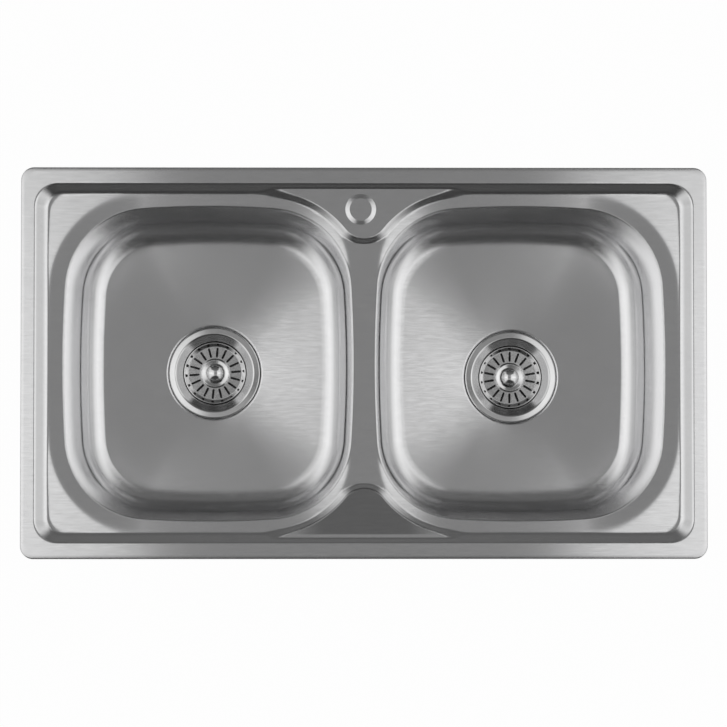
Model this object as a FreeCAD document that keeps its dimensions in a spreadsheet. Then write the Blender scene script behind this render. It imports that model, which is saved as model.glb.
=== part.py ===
import FreeCAD, Part

import math
import os

import Sketcher

# Inset double bowl kitchen sink, in millimetres.  X runs to the right, Y to the tap side
# at the back and Z up.  The origin is the middle of the sink on the worktop surface, which
# is the underside of the rim seal.

# ---------------------------------------------------------------- driving sizes
SIZES = {
    # pressed steel deck
    "side_margin": 48.5,
    "front_margin": 43.5,
    "back_margin": 44.5,
    "rim_corner": 15.0,
    "steel": 0.8,
    "rim_height": 3.0,
    "edge_gap": 0.3,
    "rim_flat_side": 16.5,
    "rim_flat_front": 18.7,
    "step_run_side": 11.5,
    "step_run_front": 9.5,
    "step_corner": 28.0,
    "step_foot_corner": 18.0,
    "step_drop": 7.0,
    "ledge_drop": 3.5,
    "ledge_gap": 18.5,
    "ledge_run": 5.6,
    "ledge_nose_setback": 36.3,
    "ledge_flare": 40.5,
    "ledge_foot_flare": 16.0,
    "ledge_root": 8.0,
    "tap_mark_shift": -4.0,
    "tap_mark_setback": 47.5,
    "tap_mark_radius": 18.5,
    "tap_mark_inner": 13.0,
    "tap_mark_height": 0.5,
    # bowls
    "bowl_length": 328.0,
    "bowl_width": 357.0,
    "partition": 27.0,
    "bowl_corner": 93.5,
    "bow_side": 2.5,
    "bow_front": 2.3,
    "bowl_depth": 180.0,
    "wall_draft": 2.4,
    "floor_corner": 27.0,
    "lip_radius": 2.0,
    "lip_land": 1.0,
    "left_drain_shift": -6.5,
    "right_drain_shift": -11.5,
    "seat_radius": 56.5,
    "seat_slope": 1.5,
    "seat_depth": 3.0,
    "drain_hole_radius": 45.0,
    # rim seal and sound pads
    "seal_setback": 1.2,
    "seal_width": 9.0,
    "pad_length": 200.0,
    "pad_width": 240.0,
    "pad_thickness": 2.0,
    "pad_hole_radius": 66.0,
    # clip rails and clips
    "rail_width": 9.0,
    "rail_height": 8.0,
    "rail_sheet": 1.0,
    "rail_slot": 4.4,
    "long_rail": 160.0,
    "side_rail": 200.0,
    "long_clip_spacing": 100.0,
    "side_clip_spacing": 140.0,
    "worktop": 40.0,
    "claw_sheet": 1.5,
    "claw_width": 12.0,
    "claw_reach": 28.5,
    "claw_height": 12.0,
    "claw_inset": 0.25,
    "bolt_radius": 2.0,
    "bolt_head": 6.4,
    "bolt_head_height": 2.2,
    "bolt_tail": 10.0,
    "bolt_clearance": 0.2,
    "nut_flats": 7.0,
    "nut_height": 3.2,
    "thread_clearance": 0.05,
    # strainer wastes
    "flange_radius": 54.5,
    "flange_ring_inner": 46.5,
    "cup_steel": 0.8,
    "throat_radius": 38.0,
    "cone_depth": 6.0,
    "cup_depth": 26.0,
    "port_radius": 22.0,
    "port_depth": 4.0,
    "water_hole_radius": 5.2,
    "water_hole_circle": 14.5,
    "water_hole_count": 6,
    "flange_seal_gap": 0.3,
    "flange_seal_inner": 47.3,
    "body_seal_radius": 54.0,
    "body_seal_inner": 45.8,
    "body_seal_thickness": 2.0,
    "body_rim_radius": 55.5,
    "body_rim_thickness": 3.5,
    "body_inner_radius": 42.0,
    "body_wall": 2.5,
    "body_side": 34.0,
    "funnel_depth": 18.0,
    "outlet_radius": 23.9,
    "outlet_bore": 19.5,
    "outlet_length": 28.0,
    "hub_radius": 8.0,
    "hub_gap": 0.5,
    "hub_length": 12.5,
    "rib_width": 2.5,
    "rib_height": 6.0,
    "insert_radius": 4.5,
    "insert_length": 11.0,
    "screw_radius": 3.0,
    "screw_head_radius": 6.0,
    "screw_head_height": 3.0,
    "screw_clearance": 0.2,
    # removable baskets
    "basket_sheet": 0.6,
    "basket_rim_drop": 5.5,
    "basket_clearance": 1.0,
    "basket_bead": 0.8,
    "basket_floor_radius": 30.6,
    "basket_floor_drop": 16.4,
    "boss_radius": 17.9,
    "boss_height": 3.0,
    "boss_slope": 1.5,
    "slot_count": 18,
    "slot_inner": 19.4,
    "slot_outer": 29.8,
    "slot_width": 2.0,
    "left_slot_turn": 4.5,
    "right_slot_turn": 9.5,
    "stopper_radius": 26.0,
    "stopper_thickness": 4.0,
    "stem_radius": 2.5,
    "stem_collar": 6.0,
    "stem_foot_radius": 5.0,
    "stem_foot_height": 0.6,
    "stem_running_gap": 0.05,
    "knob_radius": 10.5,
    "knob_neck": 5.0,
    "knob_neck_height": 6.4,
    "knob_edge": 2.0,
    "knob_dome": 6.0,
    "knob_thread_depth": 3.0,
}

document = FreeCAD.newDocument("DoubleBowlSink")
sheet = document.addObject("Spreadsheet::Sheet", "Sizes")
for row, (alias, number) in enumerate(SIZES.items(), start=1):
    sheet.set(f"A{row}", alias)
    sheet.set(f"B{row}", str(number))
    sheet.setAlias(f"B{row}", alias)
derived_sizes = document.addObject("App::VarSet", "Derived")
document.recompute()


class Size:
    """A length that keeps both its value and the formula of sheet cells behind it."""

    def __init__(self, value, formula):
        self.value = float(value)
        self.formula = formula

    def __float__(self):
        return self.value

    def __neg__(self):
        return Size(-self.value, f"(-{self.formula})")

    def __add__(self, other):
        return Size(self.value + float(other), f"({self.formula} + {formula_of(other)})")

    def __radd__(self, other):
        return Size(float(other) + self.value, f"({formula_of(other)} + {self.formula})")

    def __sub__(self, other):
        return Size(self.value - float(other), f"({self.formula} - {formula_of(other)})")

    def __rsub__(self, other):
        return Size(float(other) - self.value, f"({formula_of(other)} - {self.formula})")

    def __mul__(self, other):
        return Size(self.value * float(other), f"({self.formula} * {formula_of(other)})")

    def __rmul__(self, other):
        return Size(float(other) * self.value, f"({formula_of(other)} * {self.formula})")

    def __truediv__(self, other):
        return Size(self.value / float(other), f"({self.formula} / {formula_of(other)})")


def formula_of(number):
    """The formula text of a size or of a plain number."""
    if isinstance(number, Size):
        return number.formula
    return f"({float(number)})"


def root(size):
    return Size(math.sqrt(size.value), f"sqrt({size.formula})")


def sine(degrees):
    return Size(math.sin(math.radians(degrees.value)), f"sin({degrees.formula})")


def cosine(degrees):
    return Size(math.cos(math.radians(degrees.value)), f"cos({degrees.formula})")


def tangent(degrees):
    return Size(math.tan(math.radians(degrees.value)), f"tan({degrees.formula})")


def cell(alias):
    """A driving size, read from its cell of the sheet."""
    return Size(sheet.get(alias), f"Sizes.{alias}")


def derive(name, size):
    """Keep a worked-out size under a name of its own, so that later formulas stay short."""
    derived_sizes.addProperty("App::PropertyFloat", name, "Derived")
    derived_sizes.setExpression(name, size.formula)
    return Size(size.value, f"Derived.{name}")


def bind(item, property_path, size):
    """Tie a property to the sheet, or set it when it is a plain number."""
    item.setExpression(property_path, formula_of(size))


# ---------------------------------------------------------------- modelling helpers
def new_body(label):
    body = document.addObject("PartDesign::Body", label)
    body.Label = label
    return body


def origin_plane(body, role):
    for feature in body.Origin.OriginFeatures:
        if feature.Role == role:
            return feature
    raise ValueError(f"no plane {role}")


def sketch_on(body, name, role="XY_Plane", level=0.0):
    """A new sketch on one of the body's own planes, raised to a level along its normal."""
    sketch = body.newObject("Sketcher::SketchObject", name)
    sketch.AttachmentSupport = (origin_plane(body, role), [""])
    sketch.MapMode = "FlatFace"
    bind(sketch, "AttachmentOffset.Base.z", level)
    return sketch


def point_of(x, y):
    return FreeCAD.Vector(float(x), float(y), 0.0)


def hold(sketch, name, kind, geometry, size):
    """Add one dimension to a sketch and tie it to its formula."""
    index = sketch.addConstraint(Sketcher.Constraint(kind, *geometry, float(size)))
    sketch.renameConstraint(index, name)
    if isinstance(size, Size):
        sketch.setExpression(f"Constraints.{name}", size.formula)


def draw_outline(sketch, corners, prefix="p"):
    """Draw a closed outline.  Each corner is (x, y) or, where an arc runs from it to the
    next corner, (x, y, centre_x, centre_y, radius)."""
    ends = []
    first = len(sketch.Geometry)
    for index, corner in enumerate(corners):
        following = corners[(index + 1) % len(corners)]
        start = point_of(corner[0], corner[1])
        finish = point_of(following[0], following[1])
        if len(corner) == 2:
            sketch.addGeometry(Part.LineSegment(start, finish), False)
            ends.append((1, 2))
            continue
        centre = point_of(corner[2], corner[3])
        from_centre = start - centre
        to_centre = finish - centre
        anticlockwise = from_centre.cross(to_centre).z > 0
        if not anticlockwise:
            from_centre, to_centre = to_centre, from_centre
        begin = math.atan2(from_centre.y, from_centre.x)
        end = math.atan2(to_centre.y, to_centre.x)
        if end < begin:
            end += 2 * math.pi
        circle = Part.Circle(centre, FreeCAD.Vector(0, 0, 1), float(corner[4]))
        sketch.addGeometry(Part.ArcOfCircle(circle, begin, end), False)
        ends.append((1, 2) if anticlockwise else (2, 1))
    count = len(corners)
    for index in range(count):
        following = (index + 1) % count
        joined = (first + index, ends[index][1], first + following, ends[following][0])
        sketch.addConstraint(Sketcher.Constraint("Coincident", *joined))
    for index, corner in enumerate(corners):
        start = (first + index, ends[index][0])
        hold(sketch, f"{prefix}x{index}", "DistanceX", (-1, 1, *start), corner[0])
        hold(sketch, f"{prefix}y{index}", "DistanceY", (-1, 1, *start), corner[1])
        if len(corner) == 5:
            hold(sketch, f"{prefix}r{index}", "Radius", (first + index,), corner[4])


def draw_circle(sketch, x, y, radius, prefix="c"):
    circle = Part.Circle(point_of(x, y), FreeCAD.Vector(0, 0, 1), float(radius))
    index = sketch.addGeometry(circle, False)
    hold(sketch, f"{prefix}x", "DistanceX", (-1, 1, index, 3), x)
    hold(sketch, f"{prefix}y", "DistanceY", (-1, 1, index, 3), y)
    hold(sketch, f"{prefix}r", "Radius", (index,), radius)


def outline_sketch(body, name, level, corners, role="XY_Plane"):
    sketch = sketch_on(body, name, role, level)
    draw_outline(sketch, corners)
    return sketch


def pad(body, sketch, length, downwards=False, both_sides=False):
    feature = body.newObject("PartDesign::Pad", f"{sketch.Name}_pad")
    feature.Profile = sketch
    bind(feature, "Length", length)
    feature.Reversed = downwards
    feature.Midplane = both_sides
    body.Tip = feature
    return feature


def pocket(body, sketch, length, upwards=False):
    feature = body.newObject("PartDesign::Pocket", f"{sketch.Name}_pocket")
    feature.Profile = sketch
    bind(feature, "Length", length)
    feature.Reversed = upwards
    body.Tip = feature
    return feature


def loft(body, sections, subtract=False):
    """A straight-sided loft through sketches, added to the body or taken from it."""
    kind = "PartDesign::SubtractiveLoft" if subtract else "PartDesign::AdditiveLoft"
    feature = body.newObject(kind, f"{sections[0].Name}_loft")
    feature.Profile = sections[0]
    feature.Sections = sections[1:]
    feature.Ruled = True
    body.Tip = feature
    return feature


def revolve(body, name, corners):
    """Turn an outline of (radius, height) corners about the body's Z axis."""
    sketch = outline_sketch(body, name, 0.0, corners, "XZ_Plane")
    feature = body.newObject("PartDesign::Revolution", f"{name}_turn")
    feature.Profile = sketch
    feature.ReferenceAxis = (sketch, ["V_Axis"])
    feature.Angle = 360.0
    body.Tip = feature
    return feature


def turned(label, corners):
    """A body that is one turned profile."""
    body = new_body(label)
    revolve(body, f"{label}_profile", corners)
    return body


def round_pattern(body, feature, count):
    pattern = body.newObject("PartDesign::PolarPattern", f"{feature.Name}_pattern")
    pattern.Originals = [feature]
    pattern.Axis = (origin_plane(body, "Z_Axis"), [""])
    pattern.Angle = 360.0
    bind(pattern, "Occurrences", count)
    body.Tip = pattern
    return pattern


def edges_where(shape, test):
    """Names of the edges of a shape that pass a test."""
    return [f"Edge{index}" for index, edge in enumerate(shape.Edges, start=1) if test(edge)]


def lies_at(edge, height):
    box = edge.BoundBox
    return abs(box.ZMin - float(height)) < 0.01 and abs(box.ZMax - float(height)) < 0.01


def round_edges(body, test, radius):
    """Fillet the edges of the body's tip that pass a test."""
    document.recompute()
    base = body.Tip
    feature = body.newObject("PartDesign::Fillet", f"{base.Name}_round")
    feature.Base = (base, edges_where(base.Shape, test))
    bind(feature, "Radius", radius)
    body.Tip = feature
    return feature


def move(item, x=0.0, y=0.0, z=0.0, turn=0.0):
    """Place an object, its position and turn about Z tied to their formulas."""
    item.Placement = FreeCAD.Placement(point_of(x, y), FreeCAD.Rotation(float(turn), 0, 0))
    bind(item, "Placement.Base.x", x)
    bind(item, "Placement.Base.y", y)
    bind(item, "Placement.Base.z", z)
    bind(item, "Placement.Rotation.Angle", turn)
    return item


def boolean(kind, label, base, tool):
    feature = document.addObject(f"Part::{kind}", label)
    feature.Label = label
    feature.Base = base
    feature.Tool = tool
    return feature


# ---------------------------------------------------------------- shared levels and outlines
steel = cell("steel")
rim_top = cell("rim_height")
deck_level = derive("deck_level", rim_top - cell("step_drop"))
ledge_level = derive("ledge_level", rim_top - cell("ledge_drop"))
floor_level = derive("floor_level", rim_top - cell("bowl_depth"))
wall_depth = derive("wall_depth", deck_level - floor_level)

# The deck is as long and as wide as the two bowls, the partition between them and the
# margins round them.
bowl_half_length = derive("bowl_half_length", cell("bowl_length") / 2)
bowl_half_width = derive("bowl_half_width", cell("bowl_width") / 2)
bowl_x = derive("bowl_x", bowl_half_length + cell("partition") / 2)
bowl_y = derive("bowl_y", (cell("front_margin") - cell("back_margin")) / 2)
half_length = derive("half_length", bowl_x + bowl_half_length + cell("side_margin"))
half_width = derive(
    "half_width", bowl_half_width + (cell("front_margin") + cell("back_margin")) / 2
)
step_half_length = derive("step_half_length", half_length - cell("rim_flat_side"))
step_half_width = derive("step_half_width", half_width - cell("rim_flat_front"))
foot_half_length = derive("foot_half_length", step_half_length - cell("step_run_side"))
foot_half_width = derive("foot_half_width", step_half_width - cell("step_run_front"))

drain_y = {
    "left": derive("left_drain_y", bowl_y + cell("left_drain_shift")),
    "right": derive("right_drain_y", bowl_y + cell("right_drain_shift")),
}
lip = derive("lip", cell("lip_radius") + cell("lip_land"))

# The bowl outline is four shallow side arcs that run tangent into four corner arcs.
bowl_corner = cell("bowl_corner")
corner_x = derive("corner_x", bowl_half_length - bowl_corner - cell("bow_side"))
corner_y = derive("corner_y", bowl_half_width - bowl_corner - cell("bow_front"))


def side_radius(name, bow, along):
    """Radius of the shallow side arc that bows out past the corner arcs beside it."""
    reach = bowl_corner + bow
    return derive(name, (reach * reach + along * along - bowl_corner * bowl_corner) / (2 * bow))


side_arc = side_radius("side_arc", cell("bow_side"), corner_y)
front_arc = side_radius("front_arc", cell("bow_front"), corner_x)
side_arc_x = derive("side_arc_x", bowl_half_length - side_arc)
front_arc_y = derive("front_arc_y", bowl_half_width - front_arc)


def bowl_outline(grow):
    """Eight corners of the bowl outline, moved outwards by an even amount."""
    radius = bowl_corner + grow
    side_span = side_arc - bowl_corner
    front_span = front_arc - bowl_corner
    beside_x = corner_x + radius * (corner_x - side_arc_x) / side_span
    beside_y = corner_y + radius * corner_y / side_span
    behind_x = corner_x + radius * corner_x / front_span
    behind_y = corner_y + radius * (corner_y - front_arc_y) / front_span
    side = side_arc + grow
    front = front_arc + grow
    return [
        (beside_x, -beside_y, side_arc_x, 0.0, side),
        (beside_x, beside_y, corner_x, corner_y, radius),
        (behind_x, behind_y, 0.0, front_arc_y, front),
        (-behind_x, behind_y, -corner_x, corner_y, radius),
        (-beside_x, beside_y, -side_arc_x, 0.0, side),
        (-beside_x, -beside_y, -corner_x, -corner_y, radius),
        (-behind_x, -behind_y, 0.0, -front_arc_y, front),
        (behind_x, -behind_y, corner_x, -corner_y, radius),
    ]


def rounded_rectangle(half_x, half_y, radius):
    inner_x = half_x - radius
    inner_y = half_y - radius
    return [
        (half_x, -inner_y),
        (half_x, inner_y, inner_x, inner_y, radius),
        (inner_x, half_y),
        (-inner_x, half_y, -inner_x, inner_y, radius),
        (-half_x, inner_y),
        (-half_x, -inner_y, -inner_x, -inner_y, radius),
        (-inner_x, -half_y),
        (inner_x, -half_y, inner_x, -inner_y, radius),
    ]


# The ledges between the bowls follow the bowl corners at an even distance and end in a
# round nose on the partition.
ledge_centre_x = derive("ledge_centre_x", bowl_x - corner_x)
ledge_arc = derive("ledge_arc", bowl_corner + cell("ledge_gap"))
ledge_nose = derive("ledge_nose", bowl_half_width - cell("ledge_nose_setback"))
nose_reach = ledge_arc - ledge_nose
nose_y = derive(
    "nose_y",
    (ledge_centre_x * ledge_centre_x + corner_y * corner_y - nose_reach * nose_reach)
    / (2 * (nose_reach + corner_y)),
)
nose_radius = derive("nose_radius", nose_y - ledge_nose)
ledge_end = derive("ledge_end", step_half_width + cell("ledge_root"))


def ledge_outline(side, grow, flare):
    """Outline of a ledge, moved outwards by an even amount; side is 1 at the back."""
    arc = ledge_arc - grow
    nose = nose_radius + grow
    share = arc / (arc + nose)
    meet_x = ledge_centre_x - ledge_centre_x * share
    meet_y = corner_y + (nose_y - corner_y) * share
    leave_x = ledge_centre_x - arc * sine(flare)
    leave_y = corner_y + arc * cosine(flare)
    end_x = leave_x + (ledge_end - leave_y) * cosine(flare) / sine(flare)

    def at(x, y):
        return (x, bowl_y + y * side)

    centre_y = bowl_y + corner_y * side
    return [
        (*at(-end_x, ledge_end),),
        (*at(-leave_x, leave_y), -ledge_centre_x, centre_y, arc),
        (*at(-meet_x, meet_y), 0.0, bowl_y + nose_y * side, nose),
        (*at(meet_x, meet_y), ledge_centre_x, centre_y, arc),
        (*at(leave_x, leave_y),),
        (*at(end_x, ledge_end),),
    ]


# ---------------------------------------------------------------- steel deck
FORM_BASE = -30.0


def deck_form(label, drop):
    """The solid whose top is the deck's face, lowered by a drop: rim, sloped step, recess
    and the two ledges with the tap mark."""
    body = new_body(label)
    plate = rounded_rectangle(half_length, half_width, cell("rim_corner"))
    pad(body, outline_sketch(body, f"{label}_plate", rim_top - drop, plate), -FORM_BASE, True)
    rim = rounded_rectangle(step_half_length, step_half_width, cell("step_corner"))
    foot = rounded_rectangle(foot_half_length, foot_half_width, cell("step_foot_corner"))
    upper = outline_sketch(body, f"{label}_step", rim_top - drop, rim)
    lower = outline_sketch(body, f"{label}_foot", deck_level - drop, foot)
    loft(body, [upper, lower], subtract=True)
    for place, side in (("back", 1), ("front", -1)):
        foot = ledge_outline(side, cell("ledge_run"), cell("ledge_foot_flare"))
        top = ledge_outline(side, 0.0, cell("ledge_flare"))
        lower = outline_sketch(body, f"{label}_{place}_foot", deck_level - drop, foot)
        upper = outline_sketch(body, f"{label}_{place}_top", ledge_level - drop, top)
        loft(body, [lower, upper])
    mark = sketch_on(body, f"{label}_mark", level=ledge_level - drop)
    centre = (cell("tap_mark_shift"), half_width - cell("tap_mark_setback"))
    draw_circle(mark, *centre, cell("tap_mark_radius"), "outer")
    draw_circle(mark, *centre, cell("tap_mark_inner"), "inner")
    pad(body, mark, cell("tap_mark_height"))
    return body


def sink_deck():
    """One pressed sheet: the form less the same form one sheet lower, with a turned-down
    edge, open over both bowls."""
    face = deck_form("deck_face", 0.0)
    back = deck_form("deck_back", steel)
    pressing = boolean("Cut", "deck_sheet", face, back)
    edge = new_body("deck_edge")
    outside = rounded_rectangle(half_length, half_width, cell("rim_corner"))
    inside = rounded_rectangle(half_length - steel, half_width - steel, cell("rim_corner") - steel)
    edge_sketch = sketch_on(edge, "deck_edge_ring", level=rim_top)
    draw_outline(edge_sketch, outside, "outer")
    draw_outline(edge_sketch, inside, "inner")
    pad(edge, edge_sketch, rim_top - cell("edge_gap"), True)
    framed = boolean("Fuse", "deck_with_edge", pressing, edge)
    openings = []
    for place, side in (("left", -1), ("right", 1)):
        opening = new_body(f"{place}_deck_opening")
        hole = outline_sketch(opening, f"{place}_deck_hole", rim_top, bowl_outline(lip))
        pad(opening, hole, -FORM_BASE, True)
        openings.append(move(opening, bowl_x * side, bowl_y))
    left_cut = boolean("Cut", "deck_left_cut", framed, openings[0])
    return boolean("Cut", "sink_deck", left_cut, openings[1])


# ---------------------------------------------------------------- bowls
LIP_STEPS = 3


def drawn_shape(body, label, grow):
    """The outside or inside of the drawn sheet: a lip that rolls over in a few straight
    steps, a tapered wall and a rounded floor corner."""
    lean = tangent(cell("wall_draft"))
    lip_radius = cell("lip_radius")
    roll = lip_radius - grow
    sections = []
    for step in range(LIP_STEPS, -1, -1):
        angle = math.radians(90.0 * step / LIP_STEPS)
        level = roll * math.sin(angle) - lip_radius
        outline = bowl_outline(lip_radius - roll * math.cos(angle) + level * lean)
        sections.append(outline_sketch(body, f"{label}_lip{step}", level, outline))
    depth = wall_depth + grow
    foot = bowl_outline(grow - depth * lean)
    sections.append(outline_sketch(body, f"{label}_foot", -depth, foot))
    loft(body, sections)
    round_edges(body, lambda edge: lies_at(edge, -depth), cell("floor_corner") + grow)


def bowl(place, side):
    """A drawn bowl with a rounded lip, welded into the deck, and a pressed drain seat."""
    label = f"{place}_bowl"
    seat_radius = cell("seat_radius")
    seat_top = seat_radius + cell("seat_slope")
    seat_depth = cell("seat_depth")
    outer = new_body(f"{label}_outside")
    drawn_shape(outer, f"{label}_outside", steel)
    land = outline_sketch(outer, f"{label}_land", 0.0, bowl_outline(lip))
    pad(outer, land, steel, True)
    move(outer, bowl_x * side, bowl_y, deck_level)

    seat_outside = turned(
        f"{label}_seat_outside",
        [
            (0.0, -steel / 2),
            (0.0, -seat_depth - steel),
            (seat_radius + steel, -seat_depth - steel),
            (seat_top + steel, -steel),
            (seat_top + steel, -steel / 2),
        ],
    )
    move(seat_outside, bowl_x * side, drain_y[place], floor_level)
    blank = boolean("Fuse", f"{label}_blank", outer, seat_outside)

    inner = new_body(f"{label}_inside")
    drawn_shape(inner, f"{label}_inside", Size(0.0, "0"))
    move(inner, bowl_x * side, bowl_y, deck_level)
    hollow = boolean("Cut", f"{label}_hollow", blank, inner)

    drain = cell("drain_hole_radius")
    seat_inside = turned(
        f"{label}_seat_inside",
        [
            (0.0, steel),
            (0.0, -seat_depth - steel * 2),
            (drain, -seat_depth - steel * 2),
            (drain, -seat_depth),
            (seat_radius, -seat_depth),
            (seat_top, 0.0),
            (seat_top, steel),
        ],
    )
    move(seat_inside, bowl_x * side, drain_y[place], floor_level)
    return boolean("Cut", label, hollow, seat_inside)


# ---------------------------------------------------------------- seal and pads
def rim_seal():
    """Foam strip under the rim, inside the turned-down edge; its underside is the seat."""
    body = new_body("rim_seal")
    setback = steel + cell("seal_setback")
    inner = setback + cell("seal_width")
    sketch = sketch_on(body, "rim_seal_ring")
    corner = cell("rim_corner")
    outside = rounded_rectangle(half_length - setback, half_width - setback, corner - setback)
    inside = rounded_rectangle(half_length - inner, half_width - inner, corner - inner)
    draw_outline(sketch, outside, "outer")
    draw_outline(sketch, inside, "inner")
    pad(body, sketch, rim_top - steel)
    return body


def sound_pad(place, side):
    """Damping pad under the bowl floor, open round the waste."""
    body = new_body(f"{place}_sound_pad")
    half_x = cell("pad_length") / 2
    half_y = cell("pad_width") / 2
    sketch = sketch_on(body, f"{place}_sound_pad_outline")
    draw_outline(sketch, [(half_x, -half_y), (half_x, half_y), (-half_x, half_y), (-half_x, -half_y)])
    draw_circle(sketch, 0.0, drain_y[place] - bowl_y, cell("pad_hole_radius"))
    pad(body, sketch, cell("pad_thickness"), True)
    return move(body, bowl_x * side, bowl_y, floor_level - steel)


# ---------------------------------------------------------------- rails and clips
rail_x = derive("rail_x", (bowl_x + bowl_half_length + lip + foot_half_length) / 2)
rail_y = derive("rail_y", (bowl_half_width - bowl_y + lip + foot_half_width) / 2)
rail_top = derive("rail_top", deck_level - steel)
rail_bottom = derive("rail_bottom", rail_top - cell("rail_height"))


def clip_rail(label, length, x, y, turn):
    """Channel welded under the deck, open below, that the clip bolts hang in."""
    body = new_body(label)
    half = cell("rail_width") / 2
    slot = cell("rail_slot") / 2
    sheet_edge = cell("rail_sheet")
    height = cell("rail_height")
    section = [
        (half, 0.0),
        (-half, 0.0),
        (-half, -height),
        (-slot, -height),
        (-slot, sheet_edge - height),
        (sheet_edge - half, sheet_edge - height),
        (sheet_edge - half, -sheet_edge),
        (half - sheet_edge, -sheet_edge),
        (half - sheet_edge, sheet_edge - height),
        (slot, sheet_edge - height),
        (slot, -height),
        (half, -height),
    ]
    pad(body, outline_sketch(body, f"{label}_section", 0.0, section, "YZ_Plane"), length, False, True)
    return move(body, x, y, rail_top, turn)


def clip_bolt():
    """Square-headed bolt that slides in the rail."""
    body = new_body("clip_bolt")
    half = cell("bolt_head") / 2
    seat = rail_bottom + cell("rail_sheet")
    head = [(half, -half), (half, half), (-half, half), (-half, -half)]
    pad(body, outline_sketch(body, "clip_bolt_head", seat, head), cell("bolt_head_height"))
    shank = sketch_on(body, "clip_bolt_shank", level=seat)
    draw_circle(shank, 0.0, 0.0, cell("bolt_radius"))
    tail = seat + cell("worktop") + cell("claw_height") + cell("bolt_tail")
    pad(body, shank, tail, True)
    return body


def clip_claw():
    """Bent strip: its long inner leg stands under the rail, its short outer leg grips the
    underside of the worktop."""
    body = new_body("clip_claw")
    thick = cell("claw_sheet")
    inner = cell("claw_inset") - cell("rail_width") / 2
    outer = cell("claw_reach")
    grip = -cell("worktop")
    base = grip - cell("claw_height")
    strip = [
        (inner, base),
        (outer, base),
        (outer, grip),
        (outer - thick, grip),
        (outer - thick, base + thick),
        (inner + thick, base + thick),
        (inner + thick, rail_bottom),
        (inner, rail_bottom),
    ]
    section = outline_sketch(body, "clip_claw_strip", 0.0, strip, "YZ_Plane")
    pad(body, section, cell("claw_width"), False, True)
    hole = sketch_on(body, "clip_claw_hole", level=base + thick)
    draw_circle(hole, 0.0, 0.0, cell("bolt_radius") + cell("bolt_clearance"))
    pocket(body, hole, thick)
    return body


def clip_nut():
    """Hexagon nut under the claw."""
    body = new_body("clip_nut")
    flats = cell("nut_flats")
    corner = flats / math.sqrt(3.0)
    hexagon = []
    for index in range(6):
        angle = math.radians(60.0 * index)
        hexagon.append((corner * math.cos(angle), corner * math.sin(angle)))
    level = -cell("worktop") - cell("claw_height")
    sketch = outline_sketch(body, "clip_nut_hexagon", level, hexagon)
    draw_circle(sketch, 0.0, 0.0, cell("bolt_radius") + cell("thread_clearance"))
    pad(body, sketch, cell("nut_height"), True)
    return body


def clip_places():
    """Where the clips hang: (x, y, turn), the turn pointing each claw outwards."""
    places = []
    for side in (-1, 1):
        for end in (-0.5, 0.5):
            along = cell("long_clip_spacing") * end
            places.append((bowl_x * side + along, rail_y, 0.0))
            places.append((bowl_x * side + along, -rail_y, 180.0))
            places.append((rail_x * side, cell("side_clip_spacing") * end, -90.0 * side))
    return places


def clip_group(label, master):
    """All the clips' copies of one piece, as separate solids of one node."""
    copies = []
    for x, y, turn in clip_places():
        rotation = FreeCAD.Rotation(FreeCAD.Vector(0, 0, 1), turn)
        copy = master.Shape.copy()
        copy.Placement = FreeCAD.Placement(point_of(x, y), rotation)
        copies.append(copy)
    group = document.addObject("Part::Feature", label)
    group.Label = label
    group.Shape = Part.makeCompound(copies)
    return group


# ---------------------------------------------------------------- strainer waste
# These profiles are (radius, height) pairs; height 0 is the bowl floor.
cup_steel = cell("cup_steel")
flange_radius = cell("flange_radius")
throat = cell("throat_radius")
cup_floor = -cell("cup_depth")
port = cell("port_radius")
port_floor = derive("port_floor", cup_floor - cell("port_depth"))
seat_face = -cell("seat_depth")
body_top = derive("body_top", seat_face - steel - cell("body_seal_thickness"))
screw = cell("screw_radius")


def strainer_flange(place):
    """Pressed cup: flat ring, cone, straight throat, stopper seat and pierced port floor."""
    ring = cell("flange_ring_inner")
    run = ring - throat
    rise = cell("cone_depth")
    slant = root(run * run + rise * rise)
    under_ring = ring + cup_steel * (slant - run) / rise
    under_cone = -rise - cup_steel * (slant - rise) / run
    hole = screw + cell("screw_clearance")
    edge_foot = seat_face + cell("flange_seal_gap")
    label = f"{place}_strainer_flange"
    body = turned(
        label,
        [
            (flange_radius, edge_foot),
            (flange_radius, -cup_steel),
            (flange_radius - cup_steel, 0.0),
            (ring, 0.0),
            (throat, -rise),
            (throat, cup_floor),
            (port, cup_floor),
            (port, port_floor),
            (hole, port_floor),
            (hole, port_floor - cup_steel),
            (port + cup_steel, port_floor - cup_steel),
            (port + cup_steel, cup_floor - cup_steel),
            (throat + cup_steel, cup_floor - cup_steel),
            (throat + cup_steel, under_cone),
            (under_ring, -cup_steel),
            (flange_radius - cup_steel, -cup_steel),
            (flange_radius - cup_steel, edge_foot),
        ],
    )
    water = sketch_on(body, f"{label}_water", level=port_floor)
    draw_circle(water, cell("water_hole_circle"), 0.0, cell("water_hole_radius"))
    holes = pocket(body, water, cup_steel)
    document.recompute()
    round_pattern(body, holes, cell("water_hole_count"))
    return body


def ring_body(label, inner, outer, bottom, top):
    """A flat ring between two radii and two heights."""
    return turned(label, [(inner, bottom), (outer, bottom), (outer, top), (inner, top)])


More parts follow.
